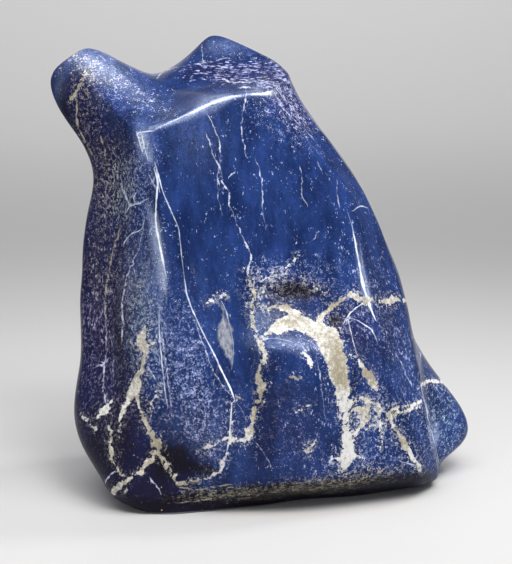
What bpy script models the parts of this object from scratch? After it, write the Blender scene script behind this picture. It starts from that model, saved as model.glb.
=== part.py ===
# A freeform of lapis lazuli: one stone, ground to soft facets, polished all over and cut flat
# underneath so that it stands. The view that shows its front looks along +Y, with +X to the right.
#
# The stone is drawn with lines that climb it from the edge of the resting face to the rim of the
# top, in order round the stone. Rings join the lines level by level, a fan closes each end, and a
# Subdivision Surface rounds the cage. The ridges that the grinding left are creased.

import bmesh
import bpy
import numpy as np

MM = 0.001

# Each line is a list of (height, x, y) in millimetres, from the resting face up to the rim.
LINES = {
    "left_front_ridge": [
        (0, -46, -56), (5, -43, -53), (14, -42, -50), (28, -42, -50), (53, -45, -56),
        (72, -47, -55), (109, -48, -48), (174, -54, -32), (183, -56, -28),
    ],
    "front_left_ridge": [
        (0, -28, -51), (14, -25, -58), (28, -19, -63), (46, -17, -64), (60, -18, -63),
        (87, -30, -58), (106, -36, -53), (135, -41, -44), (165, -49, -34), (184, -51, -28),
    ],
    "front_channel": [
        (0, -10, -45), (14, -10, -57), (28, -8, -60), (49, -6, -60), (67, -10, -55),
        (105, -23, -46), (123, -27, -42), (146, -29, -38), (170, -34, -33), (189, -39, -27),
    ],
    "front_middle": [
        (0, 2, -41), (14, 1, -57), (32, 1, -61), (78, 0, -58), (104, -5, -43),
        (169, -20, -29), (194, -26, -22),
    ],
    "front_swell": [
        (0, 19, -33), (14, 18, -55), (28, 18, -59), (68, 17, -60), (84, 17, -55),
        (96, 16, -44), (108, 14, -37), (150, 2, -29), (199, -13, -16),
    ],
    "swell_edge": [
        (0, 43, -28), (14, 42, -48), (28, 41, -52), (62, 38, -53), (83, 36, -47),
        (95, 34, -37), (109, 33, -31), (130, 28, -27), (177, 9, -15), (200, -3, -8),
    ],
    "front_right_ridge": [
        (0, 74, -12), (7, 78, -31), (19, 75, -37), (32, 71, -38), (76, 58, -34),
        (107, 50, -26), (143, 44, -18), (157, 36, -14), (178, 18, -8), (201, 2, -2),
    ],
    "right_ridge": [
        (0, 82, -4), (5, 86, -14), (11, 87, -19), (20, 85, -22), (37, 82, -20), (72, 73, -8),
        (102, 67, -4), (129, 58, 0), (166, 38, 4), (193, 15, 8), (205, 11, 8),
    ],
    "right_groove": [
        (0, 82, 5), (5, 87, -4), (14, 88, -6), (46, 83, 0), (72, 75, 5), (102, 68, 7),
        (129, 58, 9), (148, 46, 11), (166, 38, 13), (193, 16, 14), (207, 11, 14),
    ],
    "right_lobe": [
        (0, 80, 20), (5, 86, 19), (14, 101, 14), (28, 103, 13), (72, 74, 22), (130, 55, 22),
        (166, 36, 22), (190, 18, 21), (209, 9, 20),
    ],
    "back_right": [
        (0, 74, 36), (14, 88, 38), (28, 90, 40), (56, 76, 43), (100, 56, 44), (150, 34, 40),
        (213, 2, 30),
    ],
    "back_right_middle": [
        (0, 44, 50), (14, 50, 56), (56, 42, 56), (100, 26, 54), (150, 10, 49), (180, -2, 44),
        (219, -11, 36),
    ],
    "back_middle": [
        (0, 8, 56), (14, 9, 62), (56, 2, 63), (100, -8, 60), (150, -18, 54), (224, -26, 40),
    ],
    "back_left_middle": [
        (0, -24, 53), (14, -27, 58), (100, -38, 54), (150, -42, 48), (216, -37, 39),
    ],
    "back_notch": [
        (0, -48, 46), (14, -56, 52), (56, -60, 51), (100, -62, 48), (180, -61, 38),
        (204, -58, 34),
    ],
    "horn_back": [
        (0, -66, 28), (14, -76, 32), (28, -80, 32), (100, -79, 32), (165, -75, 30),
        (200, -83, 25), (215, -80, 23),
    ],
    "horn_tip": [
        (0, -72, 4), (5, -78, 2), (14, -85, 2), (28, -91, 3), (46, -92, 7), (64, -90, 10),
        (100, -90, 11), (162, -81, 15), (175, -84, 15), (192, -100, 15), (210, -101, 15),
        (219, -91, 14),
    ],
    "left_outline": [
        (0, -71, -18), (5, -76, -24), (14, -82, -26), (28, -92, -25), (46, -95, -20),
        (64, -92, -13), (103, -92, -6), (165, -82, 1), (186, -96, 4), (200, -102, 5),
        (210, -91, 5),
    ],
    "left_side": [
        (0, -68, -36), (5, -74, -44), (14, -79, -47), (28, -83, -44), (46, -83, -37),
        (64, -81, -27), (98, -80, -18), (122, -79, -14), (161, -74, -8), (197, -81, -5),
    ],
    "left_fold": [
        (0, -58, -52), (5, -61, -56), (14, -64, -58), (28, -66, -57), (64, -67, -42),
        (100, -67, -33), (150, -64, -26), (187, -68, -18),
    ],
}

# Heights of the rings in millimetres, and above them shares of the way from there to the rim.
LOW_RINGS = (0, 5, 14, 28, 46, 64, 82, 96, 112)
HIGH_RINGS = (0.25, 0.5, 0.75, 0.9, 1.0)

RIDGES = {
    "left_front_ridge": 1.4,
    "front_left_ridge": 1.4,
    "front_right_ridge": 1.0,
    "right_ridge": 0.8,
}
FRONT_RIM_CREASE = 1.4
OTHER_RIM_CREASE = 0.6
BASE_CREASE = 2.0

SADDLE = (-46, 5, 198)         # lowest part of the top, between the horn and the crest
SADDLE_SHARE = 0.5             # how far in from the rim the ring of the top lies
SADDLE_SMOOTHING = 3
BASE_CENTRE = (4, 4, 0)
ROUNDING_STEPS = 2
FITTING_PASSES = 4


def ring_heights(rim_height):
    top = LOW_RINGS[-1]
    return LOW_RINGS + tuple(top + (rim_height - top) * share for share in HIGH_RINGS)


def line_points(line):
    """The points (x, y, z) where a line crosses the rings."""
    z, x, y = np.array(line, float).T
    heights = ring_heights(z[-1])
    return np.stack([np.interp(heights, z, x), np.interp(heights, z, y), heights], axis=1)


def averaged(net, axis, closed):
    """A B-spline's share of each point and its two neighbours: one sixth, two thirds, one sixth."""
    before, after = np.roll(net, 1, axis), np.roll(net, -1, axis)
    result = (before + 4 * net + after) / 6
    if not closed:
        result[0], result[-1] = net[0], net[-1]
    return result


def fitted(net):
    """The net moved outwards until its rounded surface passes through the points of the net."""
    soft_lines = np.array([name not in RIDGES for name in LINES])[None, :, None]
    cage = net.copy()
    for _ in range(FITTING_PASSES):
        surface = np.where(soft_lines, averaged(cage, 1, closed=True), cage)
        surface = averaged(surface, 0, closed=False)
        cage += net - surface
    return cage


def side_net():
    """Points of the side in millimetres, indexed by ring and line."""
    return fitted(np.stack([line_points(line) for line in LINES.values()], axis=1))


def add_ring(mesh, ring):
    return [mesh.verts.new(point) for point in ring * MM]


def join_rings(mesh, lower, upper):
    count = len(lower)
    for i in range(count):
        j = (i + 1) % count
        mesh.faces.new((lower[i], lower[j], upper[j], upper[i]))


def close_end(mesh, ring, centre):
    middle = mesh.verts.new([value * MM for value in centre])
    count = len(ring)
    for i in range(count):
        mesh.faces.new((ring[i], ring[(i + 1) % count], middle))


def crease_run(mesh, layer, points, value):
    for start, end in zip(points, points[1:]):
        mesh.edges.get((start, end))[layer] = value


def crease_edges(mesh, rings):
    layer = mesh.edges.layers.float.new("crease_edge")
    names = list(LINES)
    for name, value in RIDGES.items():
        column = names.index(name)
        crease_run(mesh, layer, [ring[column] for ring in rings], value)
    front = names.index("front_right_ridge") + 1
    crease_run(mesh, layer, rings[-1][:front], FRONT_RIM_CREASE)
    crease_run(mesh, layer, rings[-1][front - 1:] + rings[-1][:1], OTHER_RIM_CREASE)
    crease_run(mesh, layer, rings[0] + rings[0][:1], BASE_CREASE)


def stone_material():
    material = bpy.data.materials.new("polished_lapis")
    material.use_nodes = True
    shader = material.node_tree.nodes["Principled BSDF"]
    shader.inputs["Base Color"].default_value = (0.024, 0.052, 0.18, 1)
    shader.inputs["Roughness"].default_value = 0.18
    shader.inputs["Metallic"].default_value = 0.0
    return material


def build_stone():
    net = side_net()
    top_ring = net[-1] + (np.array(SADDLE) - net[-1]) * SADDLE_SHARE
    for _ in range(SADDLE_SMOOTHING):
        top_ring = averaged(top_ring, 0, closed=True)

    mesh = bmesh.new()
    rings = [add_ring(mesh, ring) for ring in net]
    inner_ring = add_ring(mesh, top_ring)
    for lower, upper in zip(rings, rings[1:] + [inner_ring]):
        join_rings(mesh, lower, upper)
    close_end(mesh, rings[0][::-1], BASE_CENTRE)
    close_end(mesh, inner_ring, SADDLE)
    crease_edges(mesh, rings)
    bmesh.ops.recalc_face_normals(mesh, faces=mesh.faces)

    data = bpy.data.meshes.new("lapis_stone")
    mesh.to_mesh(data)
    mesh.free()
    data.shade_smooth()
    data.materials.append(stone_material())
    stone = bpy.data.objects.new("lapis_stone", data)
    bpy.context.scene.collection.objects.link(stone)

    rounding = stone.modifiers.new("Rounding", "SUBSURF")
    rounding.levels = ROUNDING_STEPS
    rounding.render_levels = ROUNDING_STEPS
    return stone


def main():
    for obj in list(bpy.data.objects):
        bpy.data.objects.remove(obj)
    build_stone()


main()
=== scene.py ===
# A polished freeform of lapis lazuli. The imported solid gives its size; this script gives the stone
# its finely rounded surface, its veins and grain, a pale studio and the camera.

import math

import bpy
import numpy as np
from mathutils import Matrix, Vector


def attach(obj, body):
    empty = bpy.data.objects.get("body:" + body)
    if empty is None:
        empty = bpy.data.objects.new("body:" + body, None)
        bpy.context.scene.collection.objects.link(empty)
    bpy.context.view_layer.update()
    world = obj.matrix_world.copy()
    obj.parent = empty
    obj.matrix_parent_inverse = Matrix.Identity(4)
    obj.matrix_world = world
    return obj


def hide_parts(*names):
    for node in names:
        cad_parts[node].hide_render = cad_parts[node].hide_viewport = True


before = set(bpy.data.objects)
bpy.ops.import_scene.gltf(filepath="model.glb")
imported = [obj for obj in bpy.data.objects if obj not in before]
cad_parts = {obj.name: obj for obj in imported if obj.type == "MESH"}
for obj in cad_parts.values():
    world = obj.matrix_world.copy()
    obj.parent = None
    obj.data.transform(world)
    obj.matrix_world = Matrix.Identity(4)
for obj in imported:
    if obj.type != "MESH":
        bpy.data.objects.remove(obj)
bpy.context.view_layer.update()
print("frame loaded")

mm = 0.001

# The camera looks along +Y and a little down. Picture places below are pixels of its 512 x 564 picture.
view = {
    "lens": 120.0,
    "sensor": 36.0,
    "width": 512,
    "height": 564,
    "elevation": math.radians(12),
    "distance": 940.0,          # millimetres from the target
    "target": (-5.0, 0.0, 103.0),
}

# The stone's lines climb it from the edge of the resting face to the rim of the top, as (height, x, y) in
# millimetres.
form = {
    "lines": {
        "leftFrontRidge": [
            (0, -46, -56), (5, -43, -53), (14, -42, -50), (28, -42, -50), (53, -45, -56),
            (72, -47, -55), (109, -48, -48), (174, -54, -32), (183, -56, -28),
        ],
        "frontLeftRidge": [
            (0, -28, -51), (14, -25, -58), (28, -19, -63), (46, -17, -64), (60, -18, -63),
            (87, -30, -58), (106, -36, -53), (135, -41, -44), (165, -49, -34), (185.4, -51, -28),
        ],
        "frontChannel": [
            (0, -10, -45), (14, -10, -57), (28, -8, -60), (49, -6, -60), (67, -10, -55),
            (105, -23, -46), (123, -27, -42), (146, -29, -38), (170, -34, -33), (191.0, -39, -27),
        ],
        "frontMiddle": [
            (0, 2, -41), (14, 1, -57), (32, 1, -61), (78, 0, -58), (104, -5, -43),
            (169, -20, -29), (196.8, -26, -22),
        ],
        "frontSwell": [
            (0, 19, -33), (14, 18, -55), (28, 18, -59), (68, 17, -60), (84, 17, -55),
            (96, 16, -44), (108, 14, -37), (150, 2, -29), (199.8, -13, -16),
        ],
        "swellEdge": [
            (0, 43, -28), (14, 42, -48), (28, 41, -52), (62, 38, -53), (83, 36, -47),
            (95, 34, -37), (109, 33, -31), (130, 28, -27), (177, 9, -15), (200, -3, -8),
        ],
        "frontRightRidge": [
            (0, 74, -12), (7, 78, -31), (19, 75, -37), (32, 71, -38), (76, 58, -34),
            (107, 50, -26), (143, 44, -18), (157, 36, -14), (178, 18, -8), (201, 2, -2),
        ],
        "rightRidge": [
            (0, 82, -4), (5, 86, -14), (11, 87, -19), (20, 85, -22), (37, 82, -20), (72, 73, -8),
            (102, 67, -4), (129, 58, 0), (166, 38, 4), (193, 15, 8), (205, 11, 8),
        ],
        "rightGroove": [
            (0, 82, 5), (5, 87, -4), (14, 88, -6), (46, 83, 0), (72, 75, 5), (102, 68, 7),
            (129, 58, 9), (148, 46, 11), (166, 38, 13), (193, 16, 14), (207, 11, 14),
        ],
        "rightLobe": [
            (0, 80, 20), (5, 86, 19), (14, 101, 14), (28, 103, 13), (72, 74, 22), (130, 55, 22),
            (166, 36, 22), (190, 18, 21), (209, 9, 20),
        ],
        "backRight": [
            (0, 74, 36), (14, 88, 38), (28, 90, 40), (56, 76, 43), (100, 56, 44), (150, 34, 40),
            (213, 2, 30),
        ],
        "backRightMiddle": [
            (0, 44, 50), (14, 50, 56), (56, 42, 56), (100, 26, 54), (150, 10, 49), (180, -2, 44),
            (219, -11, 36),
        ],
        "backMiddle": [
            (0, 8, 56), (14, 9, 62), (56, 2, 63), (100, -8, 60), (150, -18, 54), (224, -26, 40),
        ],
        "backLeftMiddle": [
            (0, -24, 53), (14, -27, 58), (100, -38, 54), (150, -42, 48), (216, -37, 39),
        ],
        "backNotch": [
            (0, -48, 46), (14, -56, 52), (56, -60, 51), (100, -62, 48), (180, -61, 38),
            (204, -58, 34),
        ],
        "hornBack": [
            (0, -66, 28), (14, -76, 32), (28, -80, 32), (100, -79, 32), (165, -75, 30),
            (200, -83, 25), (215, -80, 23),
        ],
        "hornTip": [
            (0, -72, 4), (5, -78, 2), (14, -85, 2), (28, -91, 3), (46, -92, 7), (64, -90, 10),
            (100, -90, 11), (138, -86.5, 13), (165, -84.5, 15), (192, -101, 15), (210, -101, 15),
            (219, -91, 14),
        ],
        "leftOutline": [
            (0, -71, -18), (5, -76, -24), (14, -82, -26), (28, -92, -25), (46, -95, -20),
            (64, -92, -13), (103, -92, -6), (136, -88.5, -2), (161, -85.5, 1), (185, -98.5, 4),
            (200, -102, 5),
            (210, -91, 5),
        ],
        "leftSide": [
            (0, -68, -36), (5, -74, -44), (14, -79, -47), (28, -83, -44), (46, -83, -37),
            (64, -81, -27), (98, -80, -18), (122, -79, -14), (161, -74, -8), (197, -81, -5),
        ],
        "leftFold": [
            (0, -58, -52), (5, -61, -56), (14, -64, -58), (28, -66, -57), (64, -67, -42),
            (100, -67, -33), (150, -64, -26), (187, -68, -18),
        ],
    },
    "lowRings": (0, 5, 14, 28, 46, 64, 82, 96, 112),
    "highRings": (0.25, 0.5, 0.75, 0.9, 1.0),
    "ridgeGuards": {                # how near its neighbour lines a ridge stays sharp, as a share of the way
        "leftFrontRidge": 0.24,
        "frontLeftRidge": 0.13,
        "frontRightRidge": 0.22,
        "rightRidge": 0.3,
    },
    "frontRim": (0, 7),             # the lines whose rim is a sharp edge
    "frontRimGuard": 0.6,
    "otherRimGuard": 0.6,
    "baseGuard": 0.3,
    "saddle": (-46, 5, 198),
    "baseCentre": (4, 4, 0),
    "baseShares": (0.55, 0.965),    # rings of the resting face, as shares of the way from its centre to its edge
    "innerShare": 0.5,              # rings of the top, as shares of the way from the rim to the saddle
    "innerSmoothing": 3,
    "innermostShare": 0.82,
    "innermostSmoothing": 14,
    "rimRounding": 0.35,            # how much closer the rim's inner guard stands than its outer one
    "fittingPasses": 4,
    "frontPitch": 1.02,             # millimetres between the grid's lines
    "backPitch": 2.3,
    "rowPitch": 1.1,
}


def ringHeights(rimHeight):
    # the low rings, then shares of the way from the last of them to the rim
    top = form["lowRings"][-1]
    return form["lowRings"] + tuple(top + (rimHeight - top) * share for share in form["highRings"])


def linePoints(line):
    # where a line crosses the rings, straight between its points
    z, x, y = np.array(line, float).T
    heights = ringHeights(z[-1])
    return np.stack([np.interp(heights, z, x), np.interp(heights, z, y), heights], axis=1)


def averaged(net, axis, closed):
    # a B-spline's share of each point and its two neighbours: one sixth, two thirds, one sixth
    result = (np.roll(net, 1, axis) + 4 * net + np.roll(net, -1, axis)) / 6
    if not closed:
        result[0], result[-1] = net[0], net[-1]
    return result


def fitted(net):
    # the net moved outwards until the rounded surface passes through its points
    soft = np.array([name not in form["ridgeGuards"] for name in form["lines"]])[None, :, None]
    cage = net.copy()
    for _ in range(form["fittingPasses"]):
        surface = averaged(np.where(soft, averaged(cage, 1, True), cage), 0, False)
        cage += net - surface
    return cage


def withRidgeGuards(rows):
    # beside each ridge line stands a guard, share of the way to the next line: ridge + share * (next - ridge)
    names = list(form["lines"])
    count = len(names)
    columns = []
    for i, name in enumerate(names):
        ridge, share = rows[:, i], form["ridgeGuards"].get(name)
        if share is None:
            columns.append(ridge)
            continue
        columns.append(ridge + share * (rows[:, i - 1] - ridge))
        columns.append(ridge)
        columns.append(ridge + share * (rows[:, (i + 1) % count] - ridge))
    return np.stack(columns, axis=1)


def stoneNet():
    # rows of control points from the middle of the resting face, up the side and over the rim to the saddle
    side = fitted(np.stack([linePoints(line) for line in form["lines"].values()], axis=1))
    count = side.shape[1]
    first, last = form["frontRim"]
    column = np.arange(count)
    inFrontRim = (column >= first) & (column <= last)
    guard = np.where(inFrontRim, form["frontRimGuard"], form["otherRimGuard"])[:, None]
    saddle, centre = np.array(form["saddle"], float), np.array(form["baseCentre"], float)
    edge, rim = side[0], side[-1]
    inner = rim + (saddle - rim) * form["innerShare"]
    for _ in range(form["innerSmoothing"]):
        inner = averaged(inner, 0, True)
    innermost = rim + (saddle - rim) * form["innermostShare"]
    for _ in range(form["innermostSmoothing"]):
        innermost = averaged(innermost, 0, True)
    rows = [
        np.repeat(centre[None], count, 0),
        *[centre + (edge - centre) * share for share in form["baseShares"]],
        edge,
        edge + (side[1] - edge) * form["baseGuard"],
        *side[1:-1],
        rim + (side[-2] - rim) * guard,
        rim,
        rim + (inner - rim) * guard * form["rimRounding"],
        inner,
        innermost,
        np.repeat(saddle[None], count, 0),
    ]
    return withRidgeGuards(np.stack(rows))


def splineBasis(spans, count, closed):
    # each sample at i + t takes the four control points i - 1 to i + 2 with the cubic B-spline's weights of t;
    # past an open end the last point but one is mirrored in the end
    place = np.concatenate([i + np.arange(n) / n for i, n in enumerate(spans)])
    if not closed:
        place = np.append(place, count - 1.0)
    span = np.minimum(place.astype(int), count - 1 if closed else count - 2)
    t = place - span
    weights = np.stack([(1 - t) ** 3, 3 * t ** 3 - 6 * t ** 2 + 4, -3 * t ** 3 + 3 * t ** 2 + 3 * t + 1, t ** 3]) / 6
    basis = np.zeros((len(place), count))
    sample = np.arange(len(place))
    for k in range(4):
        index = span - 1 + k
        if closed:
            np.add.at(basis, (sample, index % count), weights[k])
            continue
        before, after = index < 0, index > count - 1
        inside = ~(before | after)
        np.add.at(basis, (sample[inside], index[inside]), weights[k][inside])
        np.add.at(basis, (sample[before], np.zeros(before.sum(), int)), 2 * weights[k][before])
        np.add.at(basis, (sample[before], np.ones(before.sum(), int)), -weights[k][before])
        np.add.at(basis, (sample[after], np.full(after.sum(), count - 1)), 2 * weights[k][after])
        np.add.at(basis, (sample[after], np.full(after.sum(), count - 2)), -weights[k][after])
    return basis


def spanCounts(net):
    # samples in each span, so that the grid's lines stand a pitch apart
    around = np.linalg.norm(np.roll(net, -1, 1) - net, axis=2)[6:-6].mean(0)
    middle = ((net + np.roll(net, -1, 1)) / 2)[6:-6].mean(0)
    front = (middle[:, 1] < -1) | (middle[:, 0] < -84)
    pitch = np.where(front, form["frontPitch"], form["backPitch"])
    up = np.linalg.norm(np.diff(net, axis=0), axis=2).mean(1)
    rowPitch = np.full(len(up), form["rowPitch"])
    rowPitch[:2], rowPitch[-2:] = 9, 3
    return np.maximum(2, np.ceil(around / pitch)).astype(int), np.maximum(2, np.ceil(up / rowPitch)).astype(int)


def gridNormals(grid):
    # the cross product of the steps round and up the grid, made one long
    along = np.gradient(grid, axis=0)
    around = (np.roll(grid, -1, 1) - np.roll(grid, 1, 1)) / 2
    normal = np.cross(around, along)
    return normal / np.maximum(np.linalg.norm(normal, axis=2, keepdims=True), 1e-9)


def inPicture(points):
    # picture place of points: across and up over the depth along the view, times the lens over half the sensor
    slope, rise = math.cos(view["elevation"]), math.sin(view["elevation"])
    x, y, z = (points - view["target"]).T
    depth = view["distance"] + y * slope - z * rise
    scale = view["lens"] / view["sensor"] * view["height"] / depth
    height = y * rise + z * slope
    return np.stack([view["width"] / 2 + x * scale, view["height"] / 2 - height * scale], 1), scale


def smooth(low, high, value):
    # 0 up to low, 1 from high, and t * t * (3 - 2 * t) of the share t between them
    t = np.clip((value - low) / (high - low), 0, 1)
    return t * t * (3 - 2 * t)


def blobs(place, spots, base=0.0):
    # base plus soft spots (x, y, half width, half height, turn in degrees, amount), each amount * exp(-r squared)
    total = np.full(len(place), float(base))
    for x, y, across, along, turn, amount in spots:
        c, s = math.cos(math.radians(turn)), math.sin(math.radians(turn))
        dx, dy = place[:, 0] - x, place[:, 1] - y
        total += amount * np.exp(-((dx * c + dy * s) / across) ** 2 - ((dy * c - dx * s) / along) ** 2)
    return total


# Hollows and grooves of the surface, in picture pixels, with the depth in millimetres.
relief = {
    "hollows": [
        (290, 292, 24, 10, -4, 0.7),       # dark recess over the ledge
        (335, 321, 8, 6, 0, 0.5),          # small hollow right of the ledge
        (181, 460, 13, 22, -25, 1.4),      # hollow between the bulge and the foot
        (98, 300, 3.5, 60, 0, 0.35),
        (107, 310, 3, 55, 0, 0.3),
        (116, 300, 3, 60, 3, 0.35),
        (431, 425, 3.0, 45, -14, 0.9),     # groove beside the right lobe
    ],
    "waves": [                              # gentle unevenness of hand polishing: length, height in millimetres
        (46, 0.32), (31, 0.22), (22, 0.14), (15, 0.07),
    ],
    "seed": 7,
}


def polishWaves(points):
    # a sum of sine waves in seeded directions, height * sin(2 pi p . direction / length + phase)
    rng = np.random.default_rng(relief["seed"])
    total = np.zeros(len(points))
    for length, height in relief["waves"]:
        for _ in range(3):
            direction = rng.normal(size=3)
            direction /= np.linalg.norm(direction)
            total += height / 3 * np.sin(2 * math.pi * (points @ direction) / length + rng.uniform(0, 6.28))
    return total


net = stoneNet()
aroundCounts, rowCounts = spanCounts(net)
across = splineBasis(aroundCounts, net.shape[1], True)
upward = splineBasis(rowCounts, net.shape[0], False)
grid = np.einsum("ri,ijk,cj->rck", upward, net, across)
normals = gridNormals(grid)
points = grid.reshape(-1, 3)
outward = normals.reshape(-1, 3)
toCamera = np.array(view["target"]) + view["distance"] * np.array(
    [0, -math.cos(view["elevation"]), math.sin(view["elevation"])]) - points
toCamera /= np.linalg.norm(toCamera, axis=1, keepdims=True)
facing = (outward * toCamera).sum(1)
picture, pixelsPerMm = inPicture(points)
seen = smooth(0.0, 0.16, facing)
dents = blobs(picture, relief["hollows"]) * seen
lift = (polishWaves(points) - dents) * smooth(0.5, 9, points[:, 2])
points = points + outward * lift[:, None]
points[:, 2] = np.maximum(points[:, 2], 0)
grid = points.reshape(grid.shape)
print("surface worked out:", grid.shape[0], "x", grid.shape[1])


# Veins as runs of (x, y, full width), in picture pixels. Broad ones fill with calcite.
broadVeins = {
    "ledge": [
        (258, 338, 3), (264, 336, 5), (270, 332, 7), (278, 327, 11), (288, 322, 17), (298, 323, 18),
        (308, 328, 14), (318, 331, 13), (330, 335, 17),
    ],
    "ledgeUpper": [
        (262, 310, 2), (269, 307.5, 3), (276, 307.5, 4), (284, 306, 9), (291, 310, 6), (300, 313, 3),
    ],
    "trunk": [
        (327, 334, 12), (331, 345, 23), (334.5, 355, 21), (338.5, 364, 17), (342, 382, 15),
        (343.5, 396, 11), (345, 413, 6.5), (346, 425, 5), (347.5, 436, 8), (349.6, 444, 11.5),
        (347, 457, 11), (344, 469, 5),
    ],
    "trunkLeft": [(336, 376, 3), (338.5, 390, 3), (339.5, 404, 2.6), (341, 418, 2.6), (344, 431, 3)],
    "trunkRight": [(350, 400, 4), (351, 415, 3), (351, 431, 3)],
    "trunkSpray": [(334, 458, 3), (346, 458, 5), (358, 457, 3)],
    "armLeft": [(318, 322, 7), (325.7, 313, 6), (333.6, 306.7, 5), (341.6, 299, 5), (350, 295, 6)],
    "armRight": [
        (350, 295, 6), (360.7, 298, 6), (367, 298.7, 7), (375, 298.7, 5), (381.5, 300.3, 4),
        (387.8, 302, 6), (395.8, 298, 7), (405.4, 300.3, 5), (412, 302, 4),
    ],
    "rightTan": [
        (348, 354, 3.4), (353, 355.5, 3.8), (358, 359, 4.4), (362, 366, 5.4), (366.5, 372, 8),
        (371, 379, 9), (375, 386, 5.4), (377, 393, 3.4),
    ],
    "netTop": [(351, 402, 4), (362, 397.6, 4), (368.7, 402, 7), (378, 405.5, 5)],
    "netMass": [(352, 410, 4), (360, 408, 6), (370, 412, 4), (366, 420, 4), (362, 426, 3.4), (356, 432, 3.4)],
    "netStrand": [
        (352, 446, 3.4), (355, 436, 4.4), (358.5, 428, 4.4), (363, 420, 4.4), (367, 412, 4.6),
        (369, 403, 5),
    ],
    "netDown": [(378, 402, 4), (380, 413.5, 3.5), (380, 426, 3), (380.7, 447, 1.5)],
    "netAcross": [(370, 426, 3), (378, 424.7, 3), (385, 425, 2)],
    "netRightTop": [
        (389.4, 413.5, 3), (395.8, 408.7, 3), (403.8, 404, 3.5), (411.8, 405.5, 3), (421, 400.7, 4),
    ],
    "netRightLow": [(387.8, 418, 3), (397.4, 413.5, 3.5), (407, 408.7, 3.5), (419.7, 408.7, 3)],
    "netFall": [
        (389.4, 416, 4.4), (393, 424, 4.4), (397, 433, 5), (401, 440, 6), (404.5, 446, 7.4), (409, 452, 5),
        (413.4, 459.7, 4.6), (419.7, 469, 3.4),
    ],
    "centreUpper": [
        (246, 270, 2), (250, 281, 2.8), (253.9, 287.5, 3.2), (255.5, 298.7, 3.2), (252.3, 306.7, 3.8),
        (252.3, 317.8, 3.4), (254.7, 330.6, 3.4), (257, 339, 4.4),
    ],
    "centreLower": [
        (257, 338.6, 5), (263.5, 348, 5), (264.3, 357.7, 4.6), (258.7, 365.7, 4.8), (260.3, 381.6, 6),
        (263.5, 388, 6.6), (258.7, 402, 5.6), (253.9, 412, 4.8), (252.3, 421.5, 5.6), (250, 431, 8.4),
        (249, 438, 10),
    ],
    "centreFoot": [(244, 440.6, 4), (237, 440, 3), (230, 440.6, 4)],
    "bulgeFoot": [(202, 450, 3), (207, 447, 4.4), (213, 445, 3), (222, 439, 4.4), (230, 438, 4)],
    "footFall": [
        (234, 401, 1.2), (233, 415, 2), (231, 430, 2.4), (228, 453, 3.4), (222, 469, 3.6),
        (210, 477.5, 3.4), (193, 482, 3.6), (179, 484, 4.6),
    ],
    "leftHook": [(160, 388, 2), (156.5, 396, 3), (152, 403, 3), (150.5, 411, 2.4), (151, 419, 1.4)],
    "leftMain": [
        (146, 326, 2), (143, 335, 6), (141, 343, 12), (145, 351, 8), (143.5, 360, 5.6), (142, 370, 7),
        (138, 378, 7), (136.5, 386, 10), (131, 394, 8.4), (127, 402, 6), (123, 410, 5), (121, 418, 4),
        (120, 429, 3),
    ],
    "leftArmA": [(134, 343.5, 2.5), (142, 343, 6), (149, 346, 4), (156, 342, 2.5)],
    "leftTrail": [
        (136.5, 397, 3.4), (140, 410, 3.6), (145, 422, 3.8), (150, 432, 4), (154, 440, 5.2), (157, 448, 6),
        (161, 456, 4), (166, 466, 3.2), (172, 476, 3), (177, 484, 3),
    ],
    "leftTrailTwin": [(152, 431, 2), (159, 441, 2.4), (165, 452, 2.4), (170, 464, 2.2), (176, 477, 1.8)],
    "leftTrailThird": [(153, 443, 2), (152, 452, 2.4), (156, 460, 2)],
    "leftFoot": [
        (154, 452, 2), (152.6, 459, 5), (146, 465, 5), (138, 472.5, 6), (130, 478.5, 5), (123, 482, 5),
        (117, 488, 7), (113, 493, 5),
    ],
    "leftFootHook": [(124, 482, 2), (127, 487, 2.4), (125, 492, 2)],
    "leftSmall": [(98, 417, 3), (104, 411, 7), (109, 405.5, 5), (113, 401, 2)],
    "leftDown": [
        (107.5, 421, 2.6), (110.5, 434, 3.6), (111, 444, 4), (110.5, 452, 5), (112, 461, 3.6),
        (118, 470, 3.6), (124, 477, 4),
    ],
    "leftEdge": [(83, 417, 3), (89, 423, 3), (96, 429, 4)],
    "hornTan": [(90, 67, 2.5), (87, 71, 4), (84, 76, 3.6), (80, 84, 3.6), (76, 92, 4), (71, 99, 3)],
    "hornLine": [(75.5, 50, 2), (73, 55.8, 2.5), (76, 62, 2)],
    "lobeTop": [(421, 385, 3), (426, 382.5, 4), (431, 381.6, 4), (442, 380, 5), (448, 386, 4)],
    "creamSpeck": [(303, 353, 3.6), (306.5, 359.5, 5), (311, 367, 3.8)],
    "tanSpeck": [(291, 377, 3), (297, 377, 4), (302, 378, 2)],
    "lowSpeck": [(299, 411, 2.6), (304, 408, 3), (310, 405, 2.2)],
    "leafWisp": [(206, 303, 1.6), (210, 300, 2.6), (215.5, 301.5, 1.8)],
    "leafWispHigh": [(217, 294, 1.8), (222, 292.5, 2.8), (227, 296, 1.8)],
    "clusterA": [(286, 268, 1.5), (291, 262, 3), (296, 259, 2), (300, 254, 1.5)],
    "clusterB": [(270, 280, 1), (276, 276, 2), (281, 271, 1.5)],
    "clusterC": [(256, 296, 1.5), (263, 290, 2), (268, 283, 1.5)],
    "clusterD": [(312, 286, 1.5), (320, 290, 2.5), (327, 296, 1.5)],
    "lowDiffuse": [(303, 452, 2.6), (309, 447, 3.4), (316, 440, 2.8)],
}

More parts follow.
